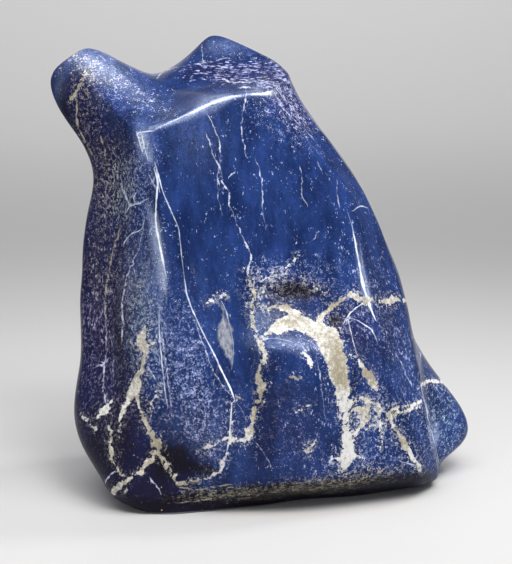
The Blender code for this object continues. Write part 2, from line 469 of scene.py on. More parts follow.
# Thread-thin veins, pale first and then tan; the pale ridgeALeft, ridgeALowTwin, ridgeBTwin and domeFanB are painted
# highlights along the ridges.
paleThreads = {
    "corner": [(206.4, 112, 1), (214, 126.4, 1.3), (218.4, 140, 1.2), (221, 157.4, 1.8), (220, 167, 1.4)],
    "mainA": [
        (206, 134, 1), (208, 137, 1.5), (211.5, 150.5, 1.5), (216.7, 162.6, 1.6), (220, 167.7, 2),
        (222.7, 181.5, 2.4), (229.6, 193.6, 2.2), (230.5, 205.6, 1.6), (234, 217.7, 1.5), (239, 228, 1.3),
        (244, 240, 1.4), (247, 246, 3), (250, 252, 1.8), (251, 259, 2.2), (247.7, 271, 3),
    ],
    "mainB": [(218.5, 169, 1.2), (217.5, 185, 1.2), (218.4, 195.3, 1), (221.8, 214, 1)],
    "hook": [(229.6, 176.4, 1.3), (234, 175, 1.6), (235, 171, 1.2), (234, 167, 1)],
    "mainC": [
        (246.5, 93, 2.5), (245, 103, 1.6), (242, 120, 1.3), (241, 131, 1.8), (243, 140, 1.1),
        (246, 155.7, 1.2),
    ],
    "mainD": [
        (255, 157, 0.8), (259, 168, 1.2), (261.5, 180, 2), (262.3, 193.6, 1.5), (263, 210, 1),
        (266, 228, 0.8),
    ],
    "faintE": [(300, 167, 1), (302, 184, 1), (302, 198, 1.3), (307, 205, 1)],
    "faintF": [(337, 181, 1), (338, 196.5, 1.3), (340, 208, 1)],
    "faintG": [(318, 163, 0.8), (322, 172, 1)],
    "faintH": [(313, 240, 1), (318, 232, 1.3)],
    "rightA": [(397.4, 356, 1.2), (405.4, 372, 1.4), (413.4, 389, 1)],
    "rightB": [(419.7, 352, 1.2), (421, 364, 1)],
    "domeA": [(258.7, 345, 1.2), (268.3, 346.5, 1.2), (279.4, 349, 1)],
    "domeB": [(257, 443.8, 1.2), (263.5, 453, 1.1), (268.3, 459.7, 1.1), (271.5, 470, 1)],
    "trunkA": [(316, 348, 1), (319, 369, 1.2), (322.5, 394, 1), (326, 420, 0.8)],
    "trunkB": [(320, 348, 2), (326, 357, 1.6), (332, 369, 1.4)],
    "ridgeALeft": [(149.5, 174.6, 1.6), (152, 180, 1.4), (155.5, 188, 1.6)],
    "bulgeThin": [(234.5, 399.5, 1.2), (242, 410, 1), (247, 421, 0.9)],
    "foldUpper": [
        (142.6, 233, 1.2), (139.5, 246, 1.6), (136, 256, 1.6), (132, 266, 1.4), (127.5, 274, 1.6),
        (124.2, 288, 2), (123, 305, 2.2), (123.8, 322, 2), (122, 343, 1.4),
    ],
    "neckShort": [(124, 190, 1), (127, 200, 1.4)],
    "leftA": [
        (104, 300, 1), (105.5, 320, 1.4), (106, 345, 1.4), (105, 360, 1.4), (103.5, 371, 2.4),
        (104, 390, 1.8), (106, 402, 1.8),
    ],
    "leftAArm": [(94, 368, 1.2), (99, 365, 2), (103.5, 366, 3), (107, 360, 1.6)],
    "leftC": [(113.5, 355, 1), (113, 370, 1), (114, 385, 0.8)],
    "leftD": [(148, 366, 1.4), (153, 374, 1.8), (158, 384, 1.4)],
    "leftE": [(150, 478, 2.0), (155, 484, 3.0), (160, 492, 2.0)],
    "leftF": [(106, 482, 1.6), (108, 477, 2.4), (113, 473, 2.0)],
    "crestLow": [
        (158, 77, 2.2), (161, 73, 1.6), (165, 70, 1.2), (178, 67.5, 1), (192, 65, 1.1), (210, 61.5, 1),
        (227, 57.5, 1),
    ],
    "crestThin": [(201.5, 46, 1.2), (203, 54, 1.2), (203.5, 63, 1)],
    "crestStreakA": [(222, 79, 2), (227, 80.5, 2), (233, 82, 1.2)],
    "crestStreakB": [(234, 83, 1.6), (242, 82, 1.8), (251, 82.5, 1.4)],
    "crestStreakC": [(238, 88, 1.6), (244, 87, 2.4), (250, 88, 1.6)],
    "rimRight": [(275, 95, 1), (281, 106, 1.2), (292, 118, 1), (305, 130, 1), (316, 142, 0.8)],
    "ridgeALowTwin": [
        (160.5, 322, 0.9), (163, 340, 1.5), (165.6, 360, 1.5), (168.6, 384, 1.6), (171.5, 406, 1.3),
    ],
    "ridgeBTwin": [
        (194, 318, 1.3), (200, 336, 1.6), (207, 354, 1.7), (215, 374, 1.7), (224, 388, 1.7),
        (232, 397, 1.2),
    ],
    "domeFanB": [(262, 346, 1.0), (276, 343, 1.3), (292, 346, 1.0)],
    "rimRightTwin": [(276, 88, 1), (284, 100, 1.1), (296, 112, 1), (308, 126, 0.8)],
}
# Straight crisp lines, unbroken: healed cracks, and painted highlights along the ridges (ridgeC, groove,
# ridgeAUpper, ridgeALow, ridgeBUpper, ridgeBLow and the dome fans).
cracksAndRidgeHighlights = {
    "arc": [(354, 210.5, 0.9), (358, 206.5, 1.3), (362, 205, 1.3), (367, 208, 0.9)],
    "ridgeC": [
        (348, 212, 0.4), (352, 225, 0.8), (354.5, 239, 1.3), (357, 252, 1.9), (359, 262, 2.6),
        (361.5, 279, 3.6), (364, 290, 3.4), (367.5, 300, 3), (372, 311.5, 3), (375, 319, 1.5),
    ],
    "groove": [
        (420, 381.6, 0.8), (423.5, 394, 1.0), (427, 408, 1.0), (430, 420, 1.2), (433.5, 434, 1.1),
        (438.9, 461, 0.8),
    ],
    "ridgeAUpper": [
        (154, 168, 1.0), (158, 181.5, 1.6), (157.3, 195, 2), (155.6, 216, 2.2), (156.4, 228, 2.4),
        (160, 247, 2.4), (163.3, 262.4, 2.6), (166, 276, 1.6),
    ],
    "ridgeALow": [
        (159, 304, 0.4), (158.6, 318, 0.9), (159.4, 332, 1.3), (161, 348, 1.5), (163, 372, 1.5),
        (166, 396, 1.5), (167.8, 408, 0.9),
    ],
    "ridgeBUpper": [
        (155, 163, 1), (158, 173, 1.4), (161.6, 188.4, 1.6), (170.2, 209, 1.1), (178.8, 228, 1.1),
        (180.5, 245, 0.9), (183, 267.6, 1), (186.5, 293, 1.8),
    ],
    "ridgeBLow": [
        (186.5, 293, 1.8), (190.5, 306, 2.0), (195, 316, 1.6), (201, 329, 1.5), (212, 351, 1.7),
        (222, 372, 1.9), (231, 391, 2.0), (234, 399, 1.4),
    ],
    "cornerA": [(137.5, 134, 1.2), (140, 143, 1.6), (143, 152, 1.0)],
    "cornerB": [(141, 133, 1.0), (144.5, 146, 1.8), (148, 158, 1.2)],
    "cornerC": [(139, 132.5, 2.0), (146, 131.5, 2.6), (151, 131, 1.6)],
    "domeFanA": [(259, 341, 0.7), (272, 338, 0.8), (286, 340, 0.7), (300, 345, 0.5)],
    "domeFanC": [(300, 338, 0.7), (312, 342, 0.9), (322, 352, 0.9), (327, 364, 0.6)],
    "leafRight": [
        (222, 302, 0.7), (226.5, 312, 1.0), (229.5, 324, 0.7), (232.5, 338, 0.6), (233.5, 350, 0.7),
        (232.5, 362, 0.8), (231.5, 369, 0.5),
    ],
    "footLine": [(232, 396, 1.5), (231, 415, 1.6), (229.5, 438, 1.7), (226, 455, 1.4), (221, 468, 1.2)],
    "baseScratch": [(399, 461, 0.8), (410, 464, 1.2), (424, 466, 0.8)],
}
# Small angular twigs, crisp too; armFan is a painted light-blue highlight streak.
twigThreads = {
    "upper": [
        (126.3, 212, 0.9), (129.7, 206, 1.4), (135.8, 204, 1.5), (141, 203.4, 1.1), (145, 200.5, 1.2),
        (149, 198.5, 0.7),
    ],
    "upperStem": [(129.5, 206.5, 1.0), (127.5, 199, 0.9), (124, 193.5, 0.8), (121, 189, 0.6)],
    "upperFork": [(135.5, 204, 1.1), (133.5, 198, 1.1), (136.5, 193, 0.8)],
    "lower": [
        (123.7, 243.5, 1.2), (128, 236.5, 1.3), (132.3, 233, 1.5), (138, 231.5, 1.3), (142.6, 228.5, 1.1),
        (144.4, 220, 0.8), (143.5, 212, 0.6),
    ],
    "armHigh": [
        (368, 300, 1.2), (359, 306, 1.4), (351.5, 311.5, 1.5), (346.5, 317.5, 1.4), (343.5, 324, 1.1),
    ],
    "armDown": [(347.5, 317, 1.0), (350, 330, 1.2), (352.8, 342, 1.0), (357, 355, 0.7)],
    "armFan": [
        (349, 317.5, 0.8), (359, 321.5, 1.1), (366, 326, 1.7), (371, 330, 1.6), (374, 335, 1.0),
        (376.5, 341, 0.6),
    ],
    "recessWisp": [(262, 281, 1.2), (267, 277, 1.4), (274, 276, 1.0)],
}
tanThreads = {
    "hornDown": [
        (74.6, 95.4, 2.5), (77, 104, 2.4), (76.4, 116, 2.8), (79, 130, 2.2), (85.8, 143.6, 1.8),
        (92.7, 155, 1.4),
    ],
    "neck": [(101, 138, 2), (103.5, 144, 2.2), (104.8, 150.5, 2), (105.6, 163, 1.6)],
    "hornShort": [(82.4, 85, 1.4), (87.5, 90, 1.2)],
    "leftLong": [
        (115, 241, 2), (113.4, 250, 3), (111.7, 259, 2.8), (109, 272, 3), (106, 284, 2.8), (104.8, 296, 2),
        (105.2, 312, 1.8), (106, 330, 1.6),
    ],
    "leftShadow": [(119, 226, 1.6), (118, 236, 1.6), (116, 244, 1.4)],
    "ledgeTan": [(262, 309, 2), (270, 307, 2.2), (279, 305, 2)],
    "footShadow": [(160, 455, 2), (166, 462, 2.5), (171, 470, 2)],
    "redSpeck": [(237, 397, 1.6), (241, 399, 1.6), (246, 400, 1)],
    "underA": [(179, 487, 2), (195, 490, 2), (212, 487, 2), (232, 484, 1.5)],
    "underB": [(176, 503, 1.5), (200, 501, 2), (225, 496, 1.5), (250, 494, 1.6)],
}
greyVeins = {
    "leaf": [
        (224, 310, 5), (223.5, 322, 10), (223.5, 333, 14), (226, 342, 14), (229, 351, 10), (231, 360, 7),
        (231.5, 368, 2),
    ],
    "leafEdge": [
        (217, 301, 3), (222, 305, 5), (226, 314, 5), (229, 326, 5), (231, 340, 6), (231.5, 352, 5),
        (231, 364, 3),
    ],
    "leafLeft": [(208, 307, 2), (214, 303, 3.4), (218, 297, 3)],
    "leafTop": [(221, 293, 2), (225, 296, 4), (229, 302, 2.4)],
}

# The back and the sides that the picture doesn't show, as seen from behind: (x, height, full width) in millimetres.
backVeins = {
    "armOn": [
        (70, 92, 3), (62, 86, 3), (52, 85, 5), (41, 79, 6), (33, 68, 5), (20, 62, 4), (9, 50, 6),
        (2, 38, 8), (-6, 30, 6), (-14, 14, 4), (-22, 2, 4),
    ],
    "armFork": [(33, 68, 4), (30, 54, 3), (34, 40, 3), (30, 24, 4), (35, 8, 3)],
    "armTwig": [(52, 85, 3), (50, 98, 3), (42, 110, 2), (36, 124, 2), (26, 132, 1.5)],
    "lobeOn": [(96, 40, 2), (86, 44, 3), (74, 38, 2.5), (62, 41, 2), (50, 33, 2)],
    "shoulder": [
        (-98, 196, 2), (-86, 186, 3), (-74, 184, 3), (-66, 170, 4), (-60, 152, 3), (-48, 140, 3),
        (-44, 124, 2),
    ],
    "hollow": [(-88, 70, 3), (-78, 62, 5), (-70, 64, 3), (-60, 52, 4), (-50, 50, 3), (-42, 38, 3)],
    "hollowDown": [(-60, 52, 3), (-64, 38, 3), (-58, 20, 4), (-62, 6, 3)],
    "shoulderTwig": [(-74, 184, 2.4), (-70, 194, 1.8), (-62, 200, 1)],
    "shoulderFork": [(-60, 152, 2.6), (-66, 140, 2), (-64, 128, 1.2)],
    "armTwigLow": [(9, 50, 2.6), (16, 40, 2), (14, 28, 1.4)],
    "hollowTwig": [(-78, 62, 2.6), (-84, 50, 2), (-82, 38, 1.2)],
    "lobeTwig": [(74, 38, 2.2), (70, 26, 1.8), (76, 12, 1.2)],
    "crestTwig": [(-16, 184, 2.2), (-26, 176, 1.6), (-30, 164, 1)],
    "crestDown": [(-20, 216, 2), (-14, 200, 2), (-16, 184, 3), (-8, 168, 2), (-6, 150, 2)],
}
backThreads = {
    "longA": [(-30, 210, 1), (-34, 188, 1), (-30, 166, 1), (-36, 142, 1.2), (-30, 118, 1), (-32, 96, 1)],
    "longB": [(10, 190, 1), (6, 172, 1), (12, 150, 1), (8, 128, 1.2), (14, 110, 1), (10, 88, 0.8)],
    "longC": [(40, 130, 0.8), (46, 112, 1), (58, 98, 1), (64, 78, 1), (76, 64, 1)],
    "crossA": [(-52, 110, 1), (-38, 104, 1), (-20, 108, 1), (-8, 96, 0.8)],
    "crossB": [(-84, 120, 1), (-74, 112, 1.2), (-66, 116, 1), (-54, 104, 0.8)],
    "lowA": [(56, 20, 1), (64, 30, 1.2), (72, 28, 1), (84, 16, 1)],
    "lowB": [(-34, 30, 1), (-26, 44, 1.2), (-12, 52, 1), (-2, 66, 1)],
}


def wandered(run, step, sway, seed):
    # the run cut into short steps, each moved sideways by sway times smoothed seeded noise, and its width varied
    run = np.array(run, float)
    length = np.append(0, np.cumsum(np.linalg.norm(np.diff(run[:, :2], axis=0), axis=1)))
    count = max(2, int(length[-1] / step) + 1)
    place = np.linspace(0, length[-1], count)
    path = np.stack([np.interp(place, length, run[:, k]) for k in range(3)], 1)
    kernel = np.array([1, 3, 4, 3, 1]) / 12
    for k in range(2):
        path[2:-2, k] = np.convolve(path[:, k], kernel, "same")[2:-2]
    rng = np.random.default_rng(seed)
    noise = rng.normal(size=(2, count))
    noise = (noise + np.roll(noise, 1, 1) + np.roll(noise, -1, 1)) / 1.8
    ends = np.sin(np.linspace(0, math.pi, count)) ** 0.3
    tangent = np.gradient(path[:, :2], axis=0)
    tangent /= np.maximum(np.linalg.norm(tangent, axis=1, keepdims=True), 1e-6)
    path[:, :2] += np.stack([-tangent[:, 1], tangent[:, 0]], 1) * (noise[0] * sway * ends)[:, None]
    path[:, 2] *= 1 + 0.22 * noise[1]
    return path


def distances(place, path):
    # from each place to the nearest piece of the path: signed by side, unsigned, and the half width there
    start, end = path[:-1, :2], path[1:, :2]
    along = end - start
    away = place[:, None] - start[None]
    t = np.clip((away * along).sum(2) / np.maximum((along ** 2).sum(1), 1e-9), 0, 1)
    gap = away - t[:, :, None] * along
    distance = np.linalg.norm(gap, axis=2)
    halfWidth = (path[:-1, 2] * (1 - t) + path[1:, 2] * t) / 2
    nearest = np.argmin(distance - halfWidth, axis=1)
    row = np.arange(len(place))
    side = np.sign(along[nearest, 0] * away[row, nearest, 1] - along[nearest, 1] * away[row, nearest, 0])
    return side * distance[row, nearest], distance[row, nearest], halfWidth[row, nearest]


def paintRuns(place, unit, allowed, runs, fields, broad, step, sway):
    # writes each run into the fields of the vertices near it; unit is the millimetres of one step of place
    margin = 12 / unit if broad else 7 / unit
    for seed, run in enumerate(runs.values()):
        path = wandered(run, step, sway, seed + 11)
        low, high = path[:, :2].min(0) - margin, path[:, :2].max(0) + margin
        near = np.nonzero(allowed & ((place > low) & (place < high)).all(1))[0]
        if not len(near):
            continue
        signed, unsigned, halfWidth = distances(place[near], path)
        if broad:
            fields[near] = np.maximum(fields[near], (halfWidth - unsigned) * unit)
            continue
        reach = (unsigned - halfWidth) * unit
        better = reach < fields[near, 1] - fields[near, 2]
        fields[near[better]] = np.stack([signed, unsigned, halfWidth], 1)[better] * unit


pixel = 0.5                         # millimetres at the stone
inFront = facing > 0.03
behind = ~inFront & (points[:, 2] > 0.5)
backPlace = np.stack([points[:, 0], points[:, 2]], 1)

calcite = np.full(len(points), -9.0)
greyFill = np.full(len(points), -9.0)
paleField = np.tile([9.0, 9.0, 0.0], (len(points), 1))
tanField = paleField.copy()
lineField = paleField.copy()
paintRuns(picture, pixel, inFront, broadVeins, calcite, True, 2.0, 0.9)
paintRuns(picture, pixel, inFront, greyVeins, greyFill, True, 2.5, 0.8)
paintRuns(picture, pixel, inFront, paleThreads, paleField, False, 1.3, 0.55)
paintRuns(picture, pixel, inFront, tanThreads, tanField, False, 1.8, 0.45)
paintRuns(picture, pixel, inFront, cracksAndRidgeHighlights, lineField, False, 2.5, 0.12)
paintRuns(picture, pixel, inFront, twigThreads, lineField, False, 0.9, 0.2)
paintRuns(backPlace, 1.0, behind, backVeins, calcite, True, 1.6, 0.8)
paintRuns(backPlace, 1.0, behind, backThreads, paleField, False, 1.6, 0.5)
frontRuns = (broadVeins, greyVeins, paleThreads, tanThreads, cracksAndRidgeHighlights, twigThreads)
print("veins laid out:", sum(map(len, frontRuns)), "in front,", len(backVeins) + len(backThreads), "behind")

# How thickly each kind of fleck lies, how the blue turns, and where shade and highlights are painted, as soft spots
# over a base. Picture pixels.
zones = {
    "grain": (0.05, [                      # fine pale grain
        (88, 62, 34, 18, 18, 0.70), (120, 86, 44, 18, 28, 0.60), (158, 108, 30, 18, 20, 0.45),
        (144, 145, 9, 18, -10, 0.80), (125, 190, 18, 26, 0, 0.85), (90, 100, 26, 40, 0, 0.15),
        (95, 290, 26, 80, 0, 0.04), (140, 290, 16, 50, 0, 0.30), (164, 255, 8, 50, -3, 0.55),
        (186, 345, 22, 50, -6, 0.66), (203, 425, 34, 44, 0, 0.78), (385, 320, 26, 90, -18, 0.22),
        (446, 420, 20, 36, 0, 0.60), (395, 440, 40, 34, 0, 0.25), (225, 60, 44, 18, 0, 0.35),
        (282, 90, 14, 26, 30, 0.40), (262, 112, 36, 26, 0, 0.25), (350, 240, 14, 60, -12, 0.16),
        (292, 272, 44, 12, 0, 0.20), (172, 462, 18, 16, -30, -0.6), (290, 430, 44, 40, 0, 0.34),
        (330, 466, 80, 10, 0, 0.40),
        (262, 340, 14, 30, 0, 0.35), (345, 340, 26, 26, 0, 0.35), (240, 215, 60, 70, 0, -0.08),
        (205, 210, 22, 60, 0, -0.06), (112, 440, 34, 40, 0, -0.05),
    ]),
    "curl": (0.08, [                       # fine curled threads
        (124, 188, 24, 34, 0, 1.25), (100, 170, 30, 60, 0, 0.35), (96, 285, 30, 70, 0, 0.36),
        (138, 295, 20, 56, 0, 0.85),
        (150, 150, 12, 22, 0, 0.30), (186, 355, 22, 56, -6, 0.75), (203, 425, 36, 44, 0, 0.70),
        (288, 280, 46, 20, 0, 0.90), (172, 462, 20, 18, -30, -0.8), (262, 300, 16, 36, 0, 0.60),
        (340, 325, 34, 28, 0, 0.50),
        (385, 340, 34, 90, -16, 0.30), (445, 420, 22, 40, 0, 0.75), (370, 415, 34, 22, 0, 0.75),
        (390, 455, 50, 20, 0, 0.50), (350, 462, 24, 12, 0, 0.80), (290, 420, 30, 60, 0, 0.25),
        (270, 105, 40, 30, 0, 0.22), (84, 110, 18, 40, 0, 0.30), (116, 84, 40, 24, 25, 0.40),
        (290, 120, 24, 34, -35, 0.40), (115, 380, 40, 50, 0, 0.35), (160, 345, 10, 60, 0, 0.40),
        (240, 60, 60, 20, 0, 0.20), (240, 215, 56, 60, 0, -0.10), (222, 493, 50, 7, -3, 0.9),
        (320, 485, 50, 10, -5, 1.0), (378, 472, 34, 7, -6, 0.7), (150, 350, 14, 44, 0, 0.45),
        (95, 445, 40, 44, 0, 0.12),
    ]),
    "blotch": (0.0, [                      # larger pale flecks
        (144, 145, 8, 16, -10, 0.75), (182, 340, 14, 56, 4, 0.45), (205, 420, 32, 34, 0, 0.45),
        (216, 298, 12, 6, 0, 0.95), (258, 292, 12, 30, 0, 0.65), (292, 272, 40, 12, 0, 0.75),
        (266, 120, 30, 30, 0, 0.50), (300, 462, 60, 10, 0, 0.35), (346, 462, 22, 10, 0, 0.90),
        (366, 412, 24, 18, 0, 0.75), (280, 405, 26, 60, 0, 0.15), (385, 350, 18, 50, -15, 0.25),
        (232, 84, 34, 10, 0, 0.45), (300, 342, 42, 6, 6, 0.70), (96, 290, 10, 20, 0, 0.40),
        (140, 330, 14, 30, 0, 0.45), (328, 348, 10, 12, 0, 0.60), (100, 215, 12, 30, 0, 0.30),
        (338, 296, 18, 12, 0, 0.50), (240, 300, 12, 30, 0, 0.35), (355, 210, 8, 14, 0, 0.30),
        (124, 190, 14, 20, 0, 0.95), (222, 493, 34, 6, -4, 0.40), (322, 486, 22, 7, -6, 0.60),
        (362, 472, 30, 6, -6, 0.50), (306, 446, 10, 8, -30, 0.75), (302, 409, 8, 5, -25, 0.55),
    ]),
    "streak": (0.05, [                     # flecks drawn out along the grain
        (240, 180, 60, 70, 0, 0.12), (296, 112, 22, 44, -38, 0.85), (225, 72, 50, 15, 0, 1.0),
        (270, 78, 24, 16, 20, 0.80), (98, 320, 26, 90, 0, 0.70), (390, 300, 20, 90, -15, 0.45),
        (328, 400, 12, 60, -4, 0.60), (222, 493, 50, 7, -3, 1.1), (320, 485, 50, 10, -5, 1.1),
        (378, 472, 34, 7, -6, 0.8), (415, 370, 10, 50, -20, 0.50),
        (345, 250, 12, 60, -12, 0.40), (300, 346, 42, 8, 6, 0.70), (152, 230, 8, 70, 0, 0.45),
    ]),
    "across": (0.0, [                      # where the streaks lie level
        (225, 72, 60, 20, 0, 1.3), (270, 496, 150, 16, -5, 1.5), (270, 74, 20, 12, 20, 0.5),
    ]),
    "violet": (0.10, [
        (76, 105, 22, 50, 0, 0.85), (100, 170, 34, 60, 0, 0.80), (92, 300, 34, 100, 0, 0.85),
        (128, 290, 24, 60, 0, 0.35),
        (105, 440, 54, 70, 0, 1.00), (225, 72, 60, 18, 0, 0.50), (290, 105, 20, 40, -35, 0.55),
        (280, 430, 50, 60, 0, 0.40), (270, 498, 150, 14, -4, 0.60), (292, 288, 40, 16, 0, 0.50),
        (340, 320, 20, 20, 0, 0.50), (360, 345, 30, 40, 0, 0.35), (185, 465, 24, 22, 0, 0.60),
        (152, 486, 30, 22, 0, 0.80),
        (385, 300, 16, 70, -15, 0.20),
    ]),
    "tan": (0.04, [                        # how far the pale flecks and veins turn to tan
        (80, 105, 18, 50, 0, 0.70), (108, 185, 28, 60, 0, 0.65), (96, 270, 24, 50, 0, 0.50),
        (138, 300, 16, 40, 0, 0.30), (270, 492, 150, 15, -5, 1.0), (375, 474, 34, 9, -6, 0.8),
        (190, 484, 34, 10, -4, 0.45),
        (336, 352, 14, 22, 0, 0.72), (341, 378, 12, 14, 0, 0.75), (375, 299, 40, 8, 0, 0.55),
        (335, 306, 14, 14, 0, 0.70), (258, 400, 14, 56, 0, 0.80), (252, 310, 8, 26, 0, 0.40),
        (292, 321, 26, 8, -8, 0.62), (316, 334, 14, 8, 0, 0.45), (369, 374, 14, 18, 0, 0.80),
        (404, 442, 12, 14, -20, 0.75), (282, 303, 26, 7, 0, 0.75), (140, 370, 14, 50, 0, 0.55),
        # the spot at (122, 455) turns the foot's veins tan-grey: partly their own colour, partly painted shade
        (122, 455, 48, 44, 0, 0.62), (240, 285, 8, 8, 0, 0.45), (400, 412, 22, 10, 0, 0.45),
        (366, 414, 18, 20, 0, 0.55), (394, 430, 8, 14, 0, 0.40),
        (80, 84, 12, 16, 0, 0.45), (296, 377, 10, 6, 0, 0.80), (160, 445, 20, 30, -30, 0.45),
        (292, 284, 36, 14, 0, 0.75), (306, 448, 14, 14, 0, 0.60),
    ]),
    # Darker stone and painted shade, near-black: shade painted in the recess over the ledge, the hollows beside it
    # and between the bulge and the foot, the gap beside the lobe, under the bulges, along the underside and down the
    # dark left side and foot
    "dark": (0.0, [
        (450, 400, 20, 30, 0, 0.15),
        (155, 484, 22, 14, 0, 0.30),
        (205, 86, 44, 8, -4, 0.22), (178, 96, 20, 10, 35, 0.15),
        (212, 296, 9, 5, 0, 0.45), (228, 299, 5, 5, 0, 0.45),
        (296, 291, 30, 9, 4, 1.10), (335, 321, 7.5, 5.5, 0, 1.0), (172, 462, 20, 18, -30, 1.10),
        (300, 490, 130, 10, -5, 0.7),
        (270, 500, 160, 12, -5, 0.9), (205, 470, 16, 7, 8, 1.0), (66, 110, 8, 40, -10, 0.45),
        (72, 320, 8, 120, 0, 0.45),
        (105, 450, 50, 56, 0, 0.72), (120, 330, 10, 70, 0, 0.70), (140, 340, 12, 60, 0, 0.38),
        (285, 385, 30, 36, 0, 0.40),
        (97, 320, 5, 80, 0, 0.45), (100, 150, 16, 40, 0, 0.25), (120, 500, 30, 10, 30, 0.15),
        (395, 482, 30, 8, -10, 0.80),
        (360, 340, 14, 24, -10, 0.40), (290, 225, 46, 46, 0, 0.18), (100, 170, 20, 50, 0, 0.25),
        (232, 500, 90, 12, -4, 0.40), (418, 445, 6, 40, -14, 0.35), (60, 90, 8, 30, 0, 0.35),
    ]),
    # Mostly painted highlights and sheen: the horn top, the corner patch, the top ridge, ridge A, the dome under the
    # ledge and the groove by the lobe; the weaker spots are a milkier blue
    "light": (0.0, [                       # brighter, milkier blue
        (88, 58, 28, 12, 15, 0.62), (112, 78, 34, 11, 28, 0.42), (150, 104, 30, 12, 25, 0.15),
        (196, 140, 26, 30, 0, 0.12), (144, 143, 7, 16, -10, 0.90), (296, 345, 38, 6, 6, 0.55),
        (207, 107, 15, 5, -27, 0.55), (434, 432, 4, 13, -10, 0.8), (446, 415, 14, 30, 0, 0.05),
        (182, 350, 20, 60, 0, 0.04),
        (205, 430, 26, 30, 0, 0.10), (152, 285, 8, 24, 0, 0.25), (225, 46, 22, 8, 0, 0.30),
        (388, 320, 12, 70, -15, 0.03), (138, 290, 14, 44, 0, 0.20), (258, 326, 10, 24, 0, 0.35),
        (270, 90, 20, 10, 0, 0.18), (60, 80, 6, 30, 10, 0.18),
    ]),
    "teal": (0.0, [
        (446, 420, 18, 38, 0, 0.9), (122, 190, 20, 34, 0, 0.45), (138, 310, 16, 40, 0, 0.55),
        (150, 355, 16, 40, 0, 0.50),
        (400, 410, 24, 10, 0, 0.4), (230, 300, 14, 20, 0, 0.15), (366, 418, 14, 14, 0, 0.3),
        (260, 190, 50, 60, 0, 0.16),
    ]),
}
# The same for the sides that the picture doesn't show: least, most.
backZones = {
    "grain": (0.0, 0.65), "curl": (0.0, 0.85), "blotch": (0.0, 0.35), "streak": (0.05, 0.5), "across": (0.0, 0.0),
    "violet": (0.0, 0.55), "tan": (0.0, 0.4), "dark": (0.0, 0.35), "light": (0.0, 0.16), "teal": (0.0, 0.4),
}

# Bands along the ridges, as an amount and a run of (x, y, half width) in picture pixels: where the polish is
# brightest, and painted highlights, where the blue is painted milky as a sheen on the ridges and the corner.
sheens = {
    "polish": [
        (1.0, [
            (146, 130, 4), (168, 123, 4), (186, 117, 5), (205, 107, 7), (226, 98, 5), (246, 94, 4),
            (266, 91, 4),
        ]),
        (0.8, [(153, 212, 3), (156, 228, 5), (160, 255, 7), (164, 280, 6), (166, 292, 3)]),
        (0.9, [(356, 240, 2), (360, 262, 4), (366, 298, 5), (371, 310, 3)]),
        (0.3, [(70, 50, 8), (92, 58, 12), (118, 78, 10), (142, 98, 8)]),
    ],
    # painted highlights: a milky sheen along ridge A, ridge C, the top ridge and the corner patch
    "paintedSheen": [
        (0.75, [(148, 205, 2), (154, 228, 5), (157, 255, 6), (161, 278, 6), (163, 290, 2)]),
        (0.35, [(161, 286, 3), (160, 300, 3), (159, 322, 2)]),
        (0.8, [(358, 255, 1.5), (362, 275, 3), (366, 296, 4), (371, 308, 2)]),
        (1.0, [
            (150, 128.5, 1.8), (165, 125, 2.2), (184, 119, 2.4), (197, 111, 4.5), (208, 105.5, 7),
            (220, 100, 5.5), (236, 96, 1.5), (262, 92, 2),
        ]),
        (1.0, [(139, 133, 3), (144, 138, 6), (147, 150, 5), (151, 160, 3)]),
    ],
}
backSheens = {"polish": 0.14, "paintedSheen": 0.0}


def patches(seed):
    # from 0 to 1: a sum of sine waves in seeded directions, 40 to 90 mm long, made steeper round its middle
    rng = np.random.default_rng(seed)
    total = np.zeros(len(points))
    for length in (90, 70, 55, 40):
        direction = rng.normal(size=3)
        direction /= np.linalg.norm(direction)
        total += np.sin(2 * math.pi * (points @ direction) / length + rng.uniform(0, 6.28)) * length / 255
    return smooth(-0.45, 0.45, total)


def zone(name):
    # in front the base and its spots, and behind patches from the least to the most
    base, spots = zones[name]
    low, high = backZones[name]
    back = low + (high - low) * patches(sorted(zones).index(name) + 3)
    return np.clip(back + (blobs(picture, spots, base) - back) * smooth(-0.55, 0.1, facing), 0, 1)


def sheen(name):
    # the strongest of the bands, each amount * exp(-(distance / half width) squared)
    total = np.zeros(len(points))
    for amount, run in sheens[name]:
        _, gap, half = distances(picture, np.array(run, float))
        total = np.maximum(total, amount * np.exp(-(gap / (2 * half)) ** 2))
    return total * seen + backSheens[name] * smooth(0.0, -0.3, facing)


spare = np.zeros(len(points))
fields = {
    "calciteAndGrey": np.stack([calcite, greyFill, spare], 1),
    "paleThread": paleField,
    "tanThread": tanField,
    "lineThread": lineField,
    "flecks": np.stack([zone("grain"), zone("blotch"), zone("streak")], 1),
    "hues": np.stack([zone("violet"), zone("tan"), zone("teal")], 1),
    # tones: darker stone with painted shade, milkier blue with the painted highlights, and where the streaks lie
    # level
    "tones": np.stack([zone("dark"), np.maximum(zone("light"), sheen("paintedSheen")), zone("across")], 1),
    "finish": np.stack([zone("curl"), sheen("polish"), spare], 1),
}
print("zones painted:", len(zones) + len(sheens))


def poleClosed(grid):
    # vertices and faces of the grid, quads between rows and a fan at each pole; the columns close by wrapping round
    rows, columns = grid.shape[:2]
    body = np.arange(rows * columns).reshape(rows, columns)[1:-1] - columns
    corner = [body[:-1], np.roll(body, -1, 1)[:-1], np.roll(body, -1, 1)[1:], body[1:]]
    quads = np.stack(corner, 2).reshape(-1, 4)
    bottom, top = (rows - 2) * columns, (rows - 2) * columns + 1
    ring = np.arange(columns)
    lowFan = np.stack([np.full(columns, bottom), np.roll(body[0], -1), body[0]], 1)[ring]
    highFan = np.stack([np.full(columns, top), body[-1], np.roll(body[-1], -1)], 1)[ring]
    vertices = np.concatenate([grid[1:-1].reshape(-1, 3), grid[:1].mean(1), grid[-1:].mean(1)])
    return vertices, quads, np.concatenate([lowFan, highFan])


